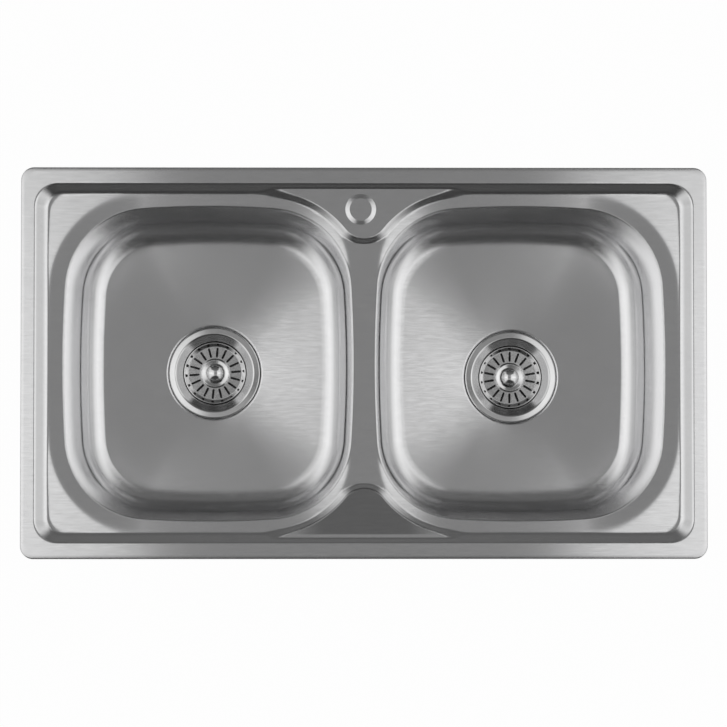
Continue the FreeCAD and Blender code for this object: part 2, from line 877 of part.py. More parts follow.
def waste_body(place):
    """Moulded cup below the bowl with a funnel, a threaded outlet and a ribbed hub."""
    label = f"{place}_waste_body"
    inner = cell("body_inner_radius")
    wall = cell("body_wall")
    rim_under = body_top - cell("body_rim_thickness")
    side_foot = body_top - cell("body_side")
    funnel_foot = side_foot - cell("funnel_depth")
    outlet_end = funnel_foot - cell("outlet_length")
    body = turned(
        label,
        [
            (inner, body_top),
            (inner, side_foot),
            (cell("outlet_bore"), funnel_foot),
            (cell("outlet_bore"), outlet_end),
            (cell("outlet_radius"), outlet_end),
            (cell("outlet_radius"), funnel_foot - wall),
            (inner + wall, side_foot - wall),
            (inner + wall, rim_under),
            (cell("body_rim_radius"), rim_under),
            (cell("body_rim_radius"), body_top),
        ],
    )
    hub_top = port_floor - cup_steel - cell("hub_gap")
    reach = inner + wall / 2
    half = cell("rib_width") / 2
    for name, half_x, half_y in (("long", reach, half), ("cross", half, reach)):
        rib = [(half_x, -half_y), (half_x, half_y), (-half_x, half_y), (-half_x, -half_y)]
        sketch = outline_sketch(body, f"{label}_{name}_rib", hub_top, rib)
        pad(body, sketch, cell("rib_height"), True)
    hub = sketch_on(body, f"{label}_hub", level=hub_top)
    draw_circle(hub, 0.0, 0.0, cell("hub_radius"))
    pad(body, hub, cell("hub_length"), True)
    bore = sketch_on(body, f"{label}_bore", level=hub_top)
    draw_circle(bore, 0.0, 0.0, cell("insert_radius"))
    pocket(body, bore, cell("insert_length"))
    return body


def centre_screw(place):
    """Screw that pulls the flange and the waste body together through the bowl."""
    hub_top = port_floor - cup_steel - cell("hub_gap")
    head = cell("screw_head_radius")
    tip = hub_top - cell("insert_length") + cell("screw_clearance")
    return turned(
        f"{place}_centre_screw",
        [
            (0.0, tip),
            (screw, tip),
            (screw, port_floor),
            (head, port_floor),
            (head, port_floor + cell("screw_head_height") - cell("screw_clearance")),
            (0.0, port_floor + cell("screw_head_height") - cell("screw_clearance")),
        ],
    )


def thread_insert(place):
    """Brass thread pressed into the hub."""
    hub_top = port_floor - cup_steel - cell("hub_gap")
    bore = screw + cell("thread_clearance")
    foot = hub_top - cell("insert_length")
    return ring_body(f"{place}_thread_insert", bore, cell("insert_radius"), foot, hub_top)


# ---------------------------------------------------------------- removable basket
basket_sheet = cell("basket_sheet")
basket_floor = -cell("basket_floor_drop")
boss_top = derive("boss_top", basket_floor + cell("boss_height"))
stem = cell("stem_radius")
stopper_top = derive("stopper_top", cup_floor + cell("stopper_thickness"))
stem_top = derive("stem_top", boss_top + cell("knob_neck_height") + cell("knob_thread_depth"))


def basket_cup(place):
    """Dished strainer with a beaded rim, a raised middle and a ring of radial slots."""
    label = f"{place}_basket_cup"
    bead = cell("basket_bead")
    rim = throat - cell("basket_clearance")
    bead_level = -cell("basket_rim_drop") - bead
    floor_edge = cell("basket_floor_radius")
    boss = cell("boss_radius")
    boss_upper = boss - cell("boss_slope")
    hole = stem + cell("stem_running_gap")
    body = turned(
        label,
        [
            (rim, bead_level, rim - bead, bead_level, bead),
            (rim - bead, bead_level + bead, rim - bead, bead_level, bead),
            (rim - bead * 2, bead_level),
            (floor_edge, basket_floor),
            (boss, basket_floor),
            (boss_upper, boss_top),
            (hole, boss_top),
            (hole, boss_top - basket_sheet),
            (boss_upper - basket_sheet, boss_top - basket_sheet),
            (boss - basket_sheet, basket_floor - basket_sheet),
            (floor_edge + basket_sheet, basket_floor - basket_sheet),
            (rim - bead, bead_level - bead),
            (rim, bead_level - bead),
        ],
    )
    half = cell("slot_width") / 2
    inner = cell("slot_inner")
    outer = cell("slot_outer")
    slot = [(half, inner), (half, outer), (-half, outer), (-half, inner)]
    sketch = outline_sketch(body, f"{label}_slot", basket_floor, slot)
    cut = pocket(body, sketch, basket_sheet)
    document.recompute()
    round_pattern(body, cut, cell("slot_count"))
    return body


def basket_stem(place):
    """Turned stem: riveted foot, collar under the cup and a threaded top end."""
    collar = cell("stem_collar")
    foot = cell("stem_foot_radius")
    foot_level = cup_floor - cell("stem_foot_height")
    return turned(
        f"{place}_basket_stem",
        [
            (0.0, foot_level),
            (foot, foot_level),
            (foot, cup_floor),
            (stem, cup_floor),
            (stem, stopper_top),
            (collar, stopper_top),
            (collar, boss_top - basket_sheet),
            (stem, boss_top - basket_sheet),
            (stem, stem_top),
            (0.0, stem_top),
        ],
    )


def basket_knob(place):
    """Domed knob screwed on the stem."""
    radius = cell("knob_radius")
    neck = cell("knob_neck")
    head_level = boss_top + cell("knob_neck_height")
    edge_level = head_level + cell("knob_edge")
    dome = cell("knob_dome")
    dome_radius = (radius * radius + dome * dome) / (2 * dome)
    crown = edge_level + dome
    return turned(
        f"{place}_basket_knob",
        [
            (stem, boss_top),
            (neck, boss_top),
            (neck, head_level),
            (radius, head_level),
            (radius, edge_level, 0.0, crown - dome_radius, dome_radius),
            (0.0, crown),
            (0.0, stem_top),
            (stem, stem_top),
        ],
    )


# ---------------------------------------------------------------- assembly
nodes = {}


def keep(item):
    nodes[item.Label] = item
    return item


keep(sink_deck())
keep(rim_seal())
for place, side in (("left", -1), ("right", 1)):
    keep(bowl(place, side))
    keep(sound_pad(place, side))
    keep(clip_rail(f"back_{place}_rail", cell("long_rail"), bowl_x * side, rail_y, 0.0))
    keep(clip_rail(f"front_{place}_rail", cell("long_rail"), bowl_x * side, -rail_y, 180.0))
    keep(clip_rail(f"{place}_rail", cell("side_rail"), rail_x * side, 0.0, -90.0 * side))

    waste = [
        strainer_flange(place),
        ring_body(
            f"{place}_flange_seal",
            cell("flange_seal_inner"),
            flange_radius - cup_steel - cell("flange_seal_gap"),
            seat_face,
            -cup_steel,
        ),
        ring_body(
            f"{place}_body_seal",
            cell("body_seal_inner"),
            cell("body_seal_radius"),
            body_top,
            seat_face - steel,
        ),
        waste_body(place),
        centre_screw(place),
        thread_insert(place),
        basket_stem(place),
        ring_body(
            f"{place}_basket_stopper",
            stem + cell("stem_running_gap"),
            cell("stopper_radius"),
            cup_floor,
            stopper_top,
        ),
        basket_knob(place),
    ]
    for piece in waste:
        keep(move(piece, bowl_x * side, drain_y[place], floor_level))
    slot_turn = cell(f"{place}_slot_turn")
    keep(move(basket_cup(place), bowl_x * side, drain_y[place], floor_level, slot_turn))

masters = {"clip_bolts": clip_bolt(), "clip_claws": clip_claw(), "clip_nuts": clip_nut()}
document.recompute()
for label, master in masters.items():
    keep(clip_group(label, master))
document.recompute()

# ---------------------------------------------------------------- check and write
for item in document.Objects:
    for state in item.State:
        if state in ("Invalid", "Error"):
            raise RuntimeError(f"{item.Name} is {state}: {item.getStatusString()}")
for name, item in nodes.items():
    if item.Shape.isNull() or not item.Shape.isValid():
        raise RuntimeError(f"{name} has no valid shape")

os.makedirs("parts", exist_ok=True)
for name, item in nodes.items():
    item.Shape.exportStep(os.path.join("parts", f"{name}.step"))
    box = item.Shape.BoundBox
    solids = len(item.Shape.Solids)
    print(f"{name}: {solids} solid(s), {item.Shape.Volume:.0f} mm3, z {box.ZMin:.1f} to {box.ZMax:.1f}")
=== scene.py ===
import math

import bmesh
import bpy
from mathutils import Matrix, Vector


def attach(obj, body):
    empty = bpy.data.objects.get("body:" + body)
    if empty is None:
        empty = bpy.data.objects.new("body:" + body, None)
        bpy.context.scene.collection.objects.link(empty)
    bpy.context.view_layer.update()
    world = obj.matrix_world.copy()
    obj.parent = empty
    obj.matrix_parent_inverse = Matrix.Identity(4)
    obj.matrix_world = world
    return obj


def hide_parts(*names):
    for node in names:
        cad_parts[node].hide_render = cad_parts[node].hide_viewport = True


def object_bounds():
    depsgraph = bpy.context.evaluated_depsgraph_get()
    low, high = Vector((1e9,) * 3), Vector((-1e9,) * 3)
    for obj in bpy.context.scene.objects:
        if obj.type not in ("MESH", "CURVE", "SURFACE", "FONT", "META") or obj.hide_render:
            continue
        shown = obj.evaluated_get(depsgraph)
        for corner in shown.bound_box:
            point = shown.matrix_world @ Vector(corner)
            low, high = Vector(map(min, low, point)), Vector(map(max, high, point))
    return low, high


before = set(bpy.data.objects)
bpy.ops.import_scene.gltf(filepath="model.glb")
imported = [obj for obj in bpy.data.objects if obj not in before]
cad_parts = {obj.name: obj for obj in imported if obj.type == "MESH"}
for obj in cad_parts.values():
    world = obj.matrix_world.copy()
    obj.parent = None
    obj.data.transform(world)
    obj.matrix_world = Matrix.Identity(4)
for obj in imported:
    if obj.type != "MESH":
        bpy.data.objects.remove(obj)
cad_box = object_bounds()

# ------------------------------------------------------------------------------ drawn bowls
# Two deep bowls, each drawn from 0.8 mm stainless sheet.  A rolled lip runs into walls that
# stand almost upright, and the floor falls a few millimetres to the pressed drain seat.
SHEET = 0.0008
DECK_LEVEL = -0.0040
FLOOR_LEVEL = -0.1770
BOWL_MIDDLE = {"left": Vector((-0.1775, -0.0005)), "right": Vector((0.1775, -0.0005))}
DRAIN_MIDDLE = {"left": Vector((-0.1775, -0.0070)), "right": Vector((0.1775, -0.0120))}
WELD_LINE = 0.0019
WELD_SINK = 0.0009

bowl_corner = Vector((0.0680, 0.0827))
bowl_corner_radius = 0.0935
bowl_side_arc = (-1.2986, 1.4626)
bowl_front_arc = (-0.9214, 1.0999)
bowl_side_turn = math.atan2(bowl_corner.y, bowl_corner.x - bowl_side_arc[0])
bowl_front_turn = math.atan2(bowl_corner.y - bowl_front_arc[0], bowl_corner.x)


def bowl_outline(angle, grow):
    """Point of a bowl's outline in one direction from its middle, moved outwards by grow."""
    across, along = abs(math.cos(angle)), abs(math.sin(angle))

    def reach(x, y, radius):
        nearest = x * across + y * along
        return nearest + math.sqrt(max(0.0, nearest**2 - x * x - y * y + radius**2))

    distance = reach(bowl_corner.x, bowl_corner.y, bowl_corner_radius + grow)
    turn = math.atan2(along * distance - bowl_corner.y, across * distance - bowl_corner.x)
    if turn < bowl_side_turn:
        distance = reach(bowl_side_arc[0], 0.0, bowl_side_arc[1] + grow)
    elif turn > bowl_front_turn:
        distance = reach(0.0, bowl_front_arc[0], bowl_front_arc[1] + grow)
    return Vector((math.cos(angle), math.sin(angle))) * distance


def bowl_rings():
    """From the weld to the drain hole: (outline growth, share of drain circle, radius, height)."""
    lip_radius = 0.0013
    draft = math.radians(2.4)
    corner = 0.0270
    fall = 0.0034
    dip = math.radians(2.0)
    top = DECK_LEVEL - WELD_SINK
    rings = [(WELD_LINE, 0.0, 0.0, top), (0.0016, 0.0, 0.0, top)]
    for step in range(9):
        roll = (math.pi / 2 - draft) * step / 8
        rings.append(
            (
                lip_radius * (1.0 - math.sin(roll)),
                0.0,
                0.0,
                top - lip_radius * (1.0 - math.cos(roll)),
            )
        )
    wall_top = rings[-1]
    corner_level = FLOOR_LEVEL + fall + corner
    wall_foot_level = corner_level - corner * math.sin(draft)
    wall_foot = wall_top[0] - (wall_top[3] - wall_foot_level) * math.tan(draft)
    for step in range(1, 10):
        share = step / 10
        rings.append(
            (
                wall_top[0] + (wall_foot - wall_top[0]) * share,
                0.0,
                0.0,
                wall_top[3] + (wall_foot_level - wall_top[3]) * share,
            )
        )
    corner_middle = wall_foot - corner * math.cos(draft)
    for step in range(15):
        lean = math.pi / 2 - draft + (dip - math.pi / 2 + draft) * step / 14
        rings.append(
            (
                corner_middle + corner * math.sin(lean),
                0.0,
                0.0,
                corner_level - corner * math.cos(lean),
            )
        )
    floor_edge, floor_edge_level = rings[-1][0], rings[-1][3]
    for step in (*range(1, 18), 17.85, 18):
        share = step / 18
        rings.append(
            (
                floor_edge,
                share,
                0.0572,
                floor_edge_level + (FLOOR_LEVEL - floor_edge_level) * share,
            )
        )
    for radius, drop in (
        (0.0567, 0.0001),
        (0.0562, 0.0004),
        (0.0558, 0.0010),
        (0.0554, 0.0020),
        (0.0551, 0.0027),
        (0.0546, 0.0030),
        (0.0530, 0.0030),
        (0.0500, 0.0030),
        (0.0450, 0.0030),
    ):
        rings.append((0.0, 1.0, radius, FLOOR_LEVEL - drop))
    return rings


def finish_mesh(name, bm, body, material, sharp=50.0):
    """Turn a bmesh into a piece of the sink with its finish and the body it rides on."""
    mesh = bpy.data.meshes.new(name)
    bm.to_mesh(mesh)
    bm.free()
    mesh.shade_smooth()
    mesh.set_sharp_from_angle(angle=math.radians(sharp))
    mesh.materials.append(material)
    piece = bpy.data.objects.new(name, mesh)
    bpy.context.scene.collection.objects.link(piece)
    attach(piece, body)
    return piece


def flat_grain(bm):
    """Lay the brushing direction on the sheet: a flat map whose length runs along X."""
    layer = bm.loops.layers.uv.new("grain")
    for face in bm.faces:
        for loop in face.loops:
            loop[layer].uv = (loop.vert.co.x, loop.vert.co.y)


def new_material(name, colour, metallic, roughness):
    """A material with its Principled shader ready for the finish to be wired in."""
    material = bpy.data.materials.new(name)
    material.use_nodes = True
    tree = material.node_tree
    shader = tree.nodes["Principled BSDF"]
    shader.inputs["Base Color"].default_value = (*colour, 1.0)
    shader.inputs["Metallic"].default_value = metallic
    shader.inputs["Roughness"].default_value = roughness
    place = tree.nodes.new("ShaderNodeTexCoord")
    return material, tree, shader, place.outputs["Object"]


def brushed_lines_group():
    """Fine parallel scratches with slow changes of shine and a few longer, deeper marks."""
    group = bpy.data.node_groups.new("brushed lines", "ShaderNodeTree")
    face = group.interface
    face.new_socket(name="Place", in_out="INPUT", socket_type="NodeSocketVector")
    face.new_socket(name="Along", in_out="INPUT", socket_type="NodeSocketFloat")
    face.new_socket(name="Across", in_out="INPUT", socket_type="NodeSocketFloat")
    for name in ("Lines", "Bands", "Clouds"):
        face.new_socket(name=name, in_out="OUTPUT", socket_type="NodeSocketFloat")
    start = group.nodes.new("NodeGroupInput")
    end = group.nodes.new("NodeGroupOutput")
    for name, coarse, detail in (("Lines", 1.0, 3.0), ("Bands", 0.40, 3.0)):
        scale = group.nodes.new("ShaderNodeCombineXYZ")
        wide = group.nodes.new("ShaderNodeMath")
        wide.operation = "MULTIPLY"
        wide.inputs[1].default_value = coarse
        group.links.new(start.outputs["Across"], wide.inputs[0])
        group.links.new(start.outputs["Along"], scale.inputs["X"])
        group.links.new(wide.outputs[0], scale.inputs["Y"])
        group.links.new(wide.outputs[0], scale.inputs["Z"])
        stretch = group.nodes.new("ShaderNodeVectorMath")
        stretch.operation = "MULTIPLY"
        group.links.new(start.outputs["Place"], stretch.inputs[0])
        group.links.new(scale.outputs[0], stretch.inputs[1])
        noise = group.nodes.new("ShaderNodeTexNoise")
        noise.inputs["Scale"].default_value = 1.0
        noise.inputs["Detail"].default_value = detail
        noise.inputs["Roughness"].default_value = 0.62
        group.links.new(stretch.outputs[0], noise.inputs["Vector"])
        group.links.new(noise.outputs["Fac"], end.inputs[name])
    clouds = group.nodes.new("ShaderNodeTexNoise")
    clouds.inputs["Scale"].default_value = 14.0
    clouds.inputs["Detail"].default_value = 3.0
    group.links.new(start.outputs["Place"], clouds.inputs["Vector"])
    group.links.new(clouds.outputs["Fac"], end.inputs["Clouds"])
    return group


brushed_lines = brushed_lines_group()


def steel_finish(
    name, dark, light, rough, rougher, along, across, lean, line_depth, bump=0.35
):
    """Brushed stainless steel: shine line by line, cloudy polish, a grain that stretches glints."""
    material, tree, shader, place = new_material(name, (light,) * 3, 1.0, rough)
    lines = tree.nodes.new("ShaderNodeGroup")
    lines.node_tree = brushed_lines
    lines.inputs["Along"].default_value = along
    lines.inputs["Across"].default_value = across
    tree.links.new(place, lines.inputs["Place"])
    tone = tree.nodes.new("ShaderNodeMix")
    tone.data_type = "RGBA"
    tone.inputs["A"].default_value = (dark, dark, dark * 1.005, 1.0)
    tone.inputs["B"].default_value = (light, light, light * 1.005, 1.0)
    total = None
    for output, weight in (("Lines", 1.1), ("Bands", 0.9), ("Clouds", 0.7)):
        blend = tree.nodes.new("ShaderNodeMath")
        blend.operation = "MULTIPLY_ADD"
        blend.inputs[1].default_value = weight
        blend.inputs[2].default_value = -0.85
        tree.links.new(lines.outputs[output], blend.inputs[0])
        if total is not None:
            tree.links.new(total, blend.inputs[2])
        total = blend.outputs[0]
    tree.links.new(total, tone.inputs["Factor"])
    tree.links.new(tone.outputs["Result"], shader.inputs["Base Color"])
    shine = tree.nodes.new("ShaderNodeMapRange")
    shine.inputs["From Min"].default_value = 0.3
    shine.inputs["From Max"].default_value = 0.7
    shine.inputs["To Min"].default_value = rough
    shine.inputs["To Max"].default_value = rougher
    tree.links.new(lines.outputs["Lines"], shine.inputs["Value"])
    tree.links.new(shine.outputs["Result"], shader.inputs["Roughness"])
    relief = tree.nodes.new("ShaderNodeBump")
    relief.inputs["Strength"].default_value = bump
    relief.inputs["Distance"].default_value = line_depth
    tree.links.new(lines.outputs["Lines"], relief.inputs["Height"])
    tree.links.new(relief.outputs["Normal"], shader.inputs["Normal"])
    if lean:
        shader.inputs["Anisotropic"].default_value = lean
        shader.inputs["Anisotropic Rotation"].default_value = 0.25
        grain = tree.nodes.new("ShaderNodeTangent")
        grain.direction_type = "UV_MAP"
        grain.uv_map = "grain"
        tree.links.new(grain.outputs["Tangent"], shader.inputs["Tangent"])
    return material


def paint_shade(material, amount, limits, tone=0.0):
    """Paint shade on one place of a finish by darkening its colour there.

    Each limit is an axis, whether both its sides count, where the place starts and where the
    full amount is reached.
    """
    tree = material.node_tree
    shader = tree.nodes["Principled BSDF"]
    place = tree.nodes.new("ShaderNodeTexCoord")
    parts = tree.nodes.new("ShaderNodeSeparateXYZ")
    tree.links.new(place.outputs["Object"], parts.inputs[0])
    mask = None
    for axis, both_sides, first, last in limits:
        source = parts.outputs[axis]
        if both_sides:
            size = tree.nodes.new("ShaderNodeMath")
            size.operation = "ABSOLUTE"
            tree.links.new(source, size.inputs[0])
            source = size.outputs[0]
        part = tree.nodes.new("ShaderNodeMapRange")
        part.interpolation_type = "SMOOTHSTEP"
        part.inputs["From Min"].default_value = first
        part.inputs["From Max"].default_value = last
        part.inputs["To Max"].default_value = amount if mask is None else 1.0
        tree.links.new(source, part.inputs["Value"])
        if mask is None:
            mask = part.outputs["Result"]
        else:
            both = tree.nodes.new("ShaderNodeMath")
            both.operation = "MULTIPLY"
            tree.links.new(mask, both.inputs[0])
            tree.links.new(part.outputs["Result"], both.inputs[1])
            mask = both.outputs[0]
    shade = tree.nodes.new("ShaderNodeMix")
    shade.data_type = "RGBA"
    shade.inputs["B"].default_value = (tone, tone, tone, 1.0)
    tree.links.new(mask, shade.inputs["Factor"])
    tree.links.new(shader.inputs["Base Color"].links[0].from_socket, shade.inputs["A"])
    tree.links.new(shade.outputs["Result"], shader.inputs["Base Color"])


bowl_steel = steel_finish(
    "brushed_bowl_steel", 0.90, 0.98, 0.16, 0.22, 60.0, 700.0, 0.97, 0.000006
)

# The front and back walls are darkened with painted shade to match the photograph.
paint_shade(bowl_steel, 0.22, (("Y", True, 0.1500, 0.1700),))

bowl_columns = 288
for side in ("left", "right"):
    middle = BOWL_MIDDLE[side]
    drain = DRAIN_MIDDLE[side] - middle
    rings = bowl_rings()
    bm = bmesh.new()
    bmesh.ops.create_grid(bm, x_segments=bowl_columns, y_segments=len(rings) - 1, size=1.0)
    for number, vert in enumerate(bm.verts):
        ring = rings[number // (bowl_columns + 1)]
        angle = 2.0 * math.pi * (number % (bowl_columns + 1)) / bowl_columns
        on_outline = bowl_outline(angle, ring[0])
        on_drain = drain + Vector((math.cos(angle), math.sin(angle))) * ring[2]
        flat = middle + on_outline.lerp(on_drain, ring[1])
        vert.co = (flat.x, flat.y, ring[3])
    bmesh.ops.remove_doubles(bm, verts=bm.verts, dist=0.00001)
    bmesh.ops.solidify(bm, geom=bm.faces[:], thickness=SHEET)
    flat_grain(bm)
    piece = finish_mesh(f"{side}_bowl_steel", bm, "sink", bowl_steel)
    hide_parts(f"{side}_bowl")

# ------------------------------------------------------------------------------- steel deck
# One pressed sheet: flat rim with a turned-down edge, sloped step, the recess round both
# bowls, and two ledges that rise between the bowls.  The bowls are welded into its openings.
rim_level = 0.0030
ledge_level = -0.0005
strip_slope = 0.0577
edge_roll = 0.0014
edge_foot = 0.0003
rim_box = (0.3900, 0.2225, 0.0150)
step_box = (0.3735, 0.2038, 0.0280)
foot_box = (0.3620, 0.1943, 0.0180)
ledge_middle = Vector((0.1095, 0.0827))
ledge_radius = 0.1120
ledge_run = 0.0046
ledge_foot = 0.0052
near_flare = math.radians(20.0)
far_flare = math.radians(12.0)
recess_blend = 0.0003
step_blend = 0.0004
nose_middle = 0.1706
nose_radius = 0.0284


def outside_box(x, y, box):
    """Distance outside a rounded rectangle, negative inside it."""
    across, along = abs(x) - box[0] + box[2], abs(y) - box[1] + box[2]
    outer = math.hypot(max(across, 0.0), max(along, 0.0))
    return outer + min(max(across, along), 0.0) - box[2]


def outside_bowl(x, y):
    """Distance outside the outline of the nearer bowl."""
    x, y = abs(abs(x) - BOWL_MIDDLE["right"].x), abs(y - BOWL_MIDDLE["right"].y)
    turn = math.atan2(y - bowl_corner.y, x - bowl_corner.x)
    if y > bowl_corner.y and turn > bowl_front_turn or x < bowl_corner.x:
        return math.hypot(x, y - bowl_front_arc[0]) - bowl_front_arc[1]
    if turn < bowl_side_turn:
        return math.hypot(x - bowl_side_arc[0], y) - bowl_side_arc[1]
    return math.hypot(x - bowl_corner.x, y - bowl_corner.y) - bowl_corner_radius


def outside_ledge(x, y, grow, flare):
    """Distance outside the outline of the nearer ledge, grown and flared."""
    place = Vector((abs(x), abs(y - BOWL_MIDDLE["right"].y))) - ledge_middle
    radius = ledge_radius - grow
    to_nose = Vector((-ledge_middle.x, nose_middle - ledge_middle.y))
    leaving = Vector((-math.sin(flare), math.cos(flare)))
    if to_nose.x * place.y - to_nose.y * place.x > 0.0 and place.x < 0.0:
        return (place - to_nose).length - nose_radius - grow
    if leaving.x * place.y - leaving.y * place.x < 0.0:
        return (leaving * radius - place).dot(leaving)
    return radius - place.length


def soft_ramp(share, foot, top):
    """0 before a slope and 1 after it, with both ends of the slope rounded."""

    def bend(value, half):
        if value <= -half:
            return 0.0
        return value if value >= half else (value + half) ** 2 / (4.0 * half)

    return bend(share, foot) - bend(share - 1.0, top)


def soft_most(first, second, blend):
    """The higher of two heights with the crease between them filled."""
    gap = max(blend - abs(first - second), 0.0)
    return max(first, second) + gap * gap / (4.0 * blend)


def deck_height(x, y):
    """Height of the deck's upper face."""
    away = max(outside_bowl(x, y) - WELD_LINE, 0.0)
    bridge = 0.0137 * max(abs(y) - 0.1000, 0.0) + 0.05 * max(abs(x) - 0.0300, 0.0)
    rise = -soft_most(-away * strip_slope, -min(bridge, WELD_SINK), recess_blend)
    ground = DECK_LEVEL - WELD_SINK + max(rise, 0.0)
    near = outside_ledge(x, y, ledge_foot - ledge_run, near_flare)
    far = outside_ledge(x, y, ledge_foot, far_flare)
    if near <= 0.0:
        share = 1.0 - near / ledge_run
    elif far >= 0.0:
        share = -far / ledge_run
    else:
        share = far / (far - near)
    low = ground + (ledge_level - ground) * soft_ramp(share, 0.28, 0.22)
    foot, step = outside_box(x, y, foot_box), outside_box(x, y, step_box)
    run = step_box[0] - foot_box[0]
    if foot <= 0.0:
        climb = foot / run
    elif step >= 0.0:
        climb = 1.0 + step / run
    else:
        climb = foot / (foot - step)
    slope = ground + (rim_level - ground) * soft_ramp(climb, 0.26, 0.10)
    return soft_most(slope, low, step_blend)


def half_box_point(box, share):
    """Point on the left half of a rounded rectangle, from the front middle round to the back."""
    length, width, radius = box
    straight, side = length - radius, width - radius
    front, corner = 0.33, 0.08
    if share > 0.5:
        place = half_box_point(box, 1.0 - share)
        return Vector((place.x, -place.y))
    if share < front:
        return Vector((-straight * share / front, -width))
    if share < front + corner:
        turn = math.pi / 2 * (share - front) / corner
        return Vector((-straight - radius * math.sin(turn), -side - radius * math.cos(turn)))
    return Vector((-length, -side + side * (share - front - corner) / (0.5 - front - corner)))


bm = bmesh.new()
rim_columns = 300
between = [0.5 - 0.5 * math.cos(math.pi * step / 12) for step in range(13)]
flat = [0.06, 0.12, 0.20, 0.35, 0.55, 0.80, 1.0]
inner_box = tuple(a - b for a, b in zip(rim_box, (edge_roll, edge_roll, edge_roll)))
rim_rings = [
    (tuple(a + (b - a) * share for a, b in zip(foot_box, step_box)), None) for share in between
]
rim_rings += [
    (tuple(a + (b - a) * share for a, b in zip(step_box, inner_box)), None) for share in flat
]
for step in range(1, 7):
    turn = math.pi / 12 * step
    grow = edge_roll * math.sin(turn)
    rim_rings.append(
        (tuple(a + grow for a in inner_box), rim_level - edge_roll * (1.0 - math.cos(turn)))
    )
rim_rings.append((rim_box, edge_foot))
rim_rings.reverse()
bmesh.ops.create_grid(bm, x_segments=rim_columns, y_segments=len(rim_rings) - 1, size=1.0)
for number, vert in enumerate(bm.verts):
    box, level = rim_rings[number // (rim_columns + 1)]
    flat_place = half_box_point(box, 1.0 - (number % (rim_columns + 1)) / rim_columns)
    height = deck_height(*flat_place) if level is None else level
    vert.co = (flat_place.x, flat_place.y, height)
rim_verts = len(bm.verts)

middle_places = [-foot_box[1]]
for end, count in ((-0.1480, 22), (-0.1290, 46), (0.1290, 84), (0.1480, 46), (foot_box[1], 22)):
    start = middle_places[-1]
    middle_places += [start + (end - start) * step / count for step in range(1, count + 1)]
plate_columns = rim_columns + len(middle_places) - 1
plate_rings = 30
bmesh.ops.create_grid(bm, x_segments=plate_columns, y_segments=plate_rings, size=1.0)
left_middle = BOWL_MIDDLE["left"]
bm.verts.ensure_lookup_table()
for number, vert in enumerate(bm.verts[rim_verts:]):
    column, ring = number % (plate_columns + 1), number // (plate_columns + 1)
    if column <= rim_columns:
        outer = half_box_point(foot_box, 1.0 - column / rim_columns)
    else:
        outer = Vector((0.0, middle_places[column - rim_columns]))
    spoke = outer - left_middle
    inner = left_middle + bowl_outline(math.atan2(spoke.y, spoke.x), WELD_LINE)
    length = (outer - inner).length
    share = 1.0 - ring / plate_rings
    close = min(max((length - 0.022) / 0.020, 0.0), 1.0)
    ledge_steps = (0.0120, 0.0170)
    if share < 0.2:
        placed = ledge_steps[0] * share / 0.2
    elif share < 0.75:
        placed = ledge_steps[0] + ledge_steps[1] * (share - 0.2) / 0.55
    else:
        placed = sum(ledge_steps) + (length - sum(ledge_steps)) * (share - 0.75) / 0.25
    distance = share * length * (1.0 - close) + placed * close
    flat_place = inner + (outer - inner) * (distance / length)
    vert.co = (flat_place.x, flat_place.y, deck_height(*flat_place))
bmesh.ops.remove_doubles(bm, verts=bm.verts, dist=0.00002)
bmesh.ops.mirror(
    bm, geom=bm.verts[:] + bm.edges[:] + bm.faces[:], merge_dist=0.00001, axis="X"
)
bmesh.ops.recalc_face_normals(bm, faces=bm.faces)
if sum(face.normal.z for face in bm.faces) < 0.0:
    bmesh.ops.reverse_faces(bm, faces=bm.faces)
bmesh.ops.solidify(bm, geom=bm.faces[:], thickness=SHEET)
flat_grain(bm)
deck_steel = steel_finish(
    "brushed_deck_steel", 0.76, 0.84, 0.11, 0.16, 50.0, 700.0, 0.97, 0.000006
)
# The top of the front ledge is darkened with painted shade to match the photograph.
paint_shade(
    deck_steel,
    0.50,
    (
        ("X", True, 0.090, 0.045),
        ("Y", False, -0.060, -0.140),
        ("Y", False, -0.1955, -0.1935),
        ("Z", False, -0.0013, -0.0007),
    ),
)
deck = finish_mesh("deck_steel", bm, "sink", deck_steel)
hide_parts("sink_deck")

# The tap mark is a round pressed into the back ledge, where the tap hole is knocked out.
# Its edge is a shallow bevel that catches the light on both sides.


def softened(points, radius, steps=4):
    """A profile with each inner corner replaced by a short arc held by a point on each side."""
    made = [points[0]]
    for before, corner, after in zip(points, points[1:], points[2:]):
        before, corner, after = Vector(before), Vector(corner), Vector(after)
        into, out = before - corner, after - corner
        cut = min(radius, into.length * 0.36, out.length * 0.36)
        first, last = corner + into.normalized() * cut, corner + out.normalized() * cut
        made.append(tuple(corner + into.normalized() * cut * 1.3))
        for step in range(steps + 1):
            share = step / steps
            made.append(tuple(first.lerp(corner, share).lerp(corner.lerp(last, share), share)))
        made.append(tuple(corner + out.normalized() * cut * 1.3))
    made.append(points[-1])
    return made


def turned(bm, profile, middle, steps, start=0.0):
    """Spin a (radius, height) profile once round an upright axis."""
    east, north = math.cos(start), math.sin(start)
    verts = [
        bm.verts.new((middle.x + radius * east, middle.y + radius * north, height))
        for radius, height in profile
    ]
    edges = [bm.edges.new(pair) for pair in zip(verts, verts[1:])]
    bmesh.ops.spin(
        bm,
        geom=verts + edges,
        cent=(middle.x, middle.y, 0.0),
        axis=(0.0, 0.0, 1.0),
        dvec=(0.0, 0.0, 0.0),
        angle=2.0 * math.pi,
        steps=steps,
        use_merge=True,
    )


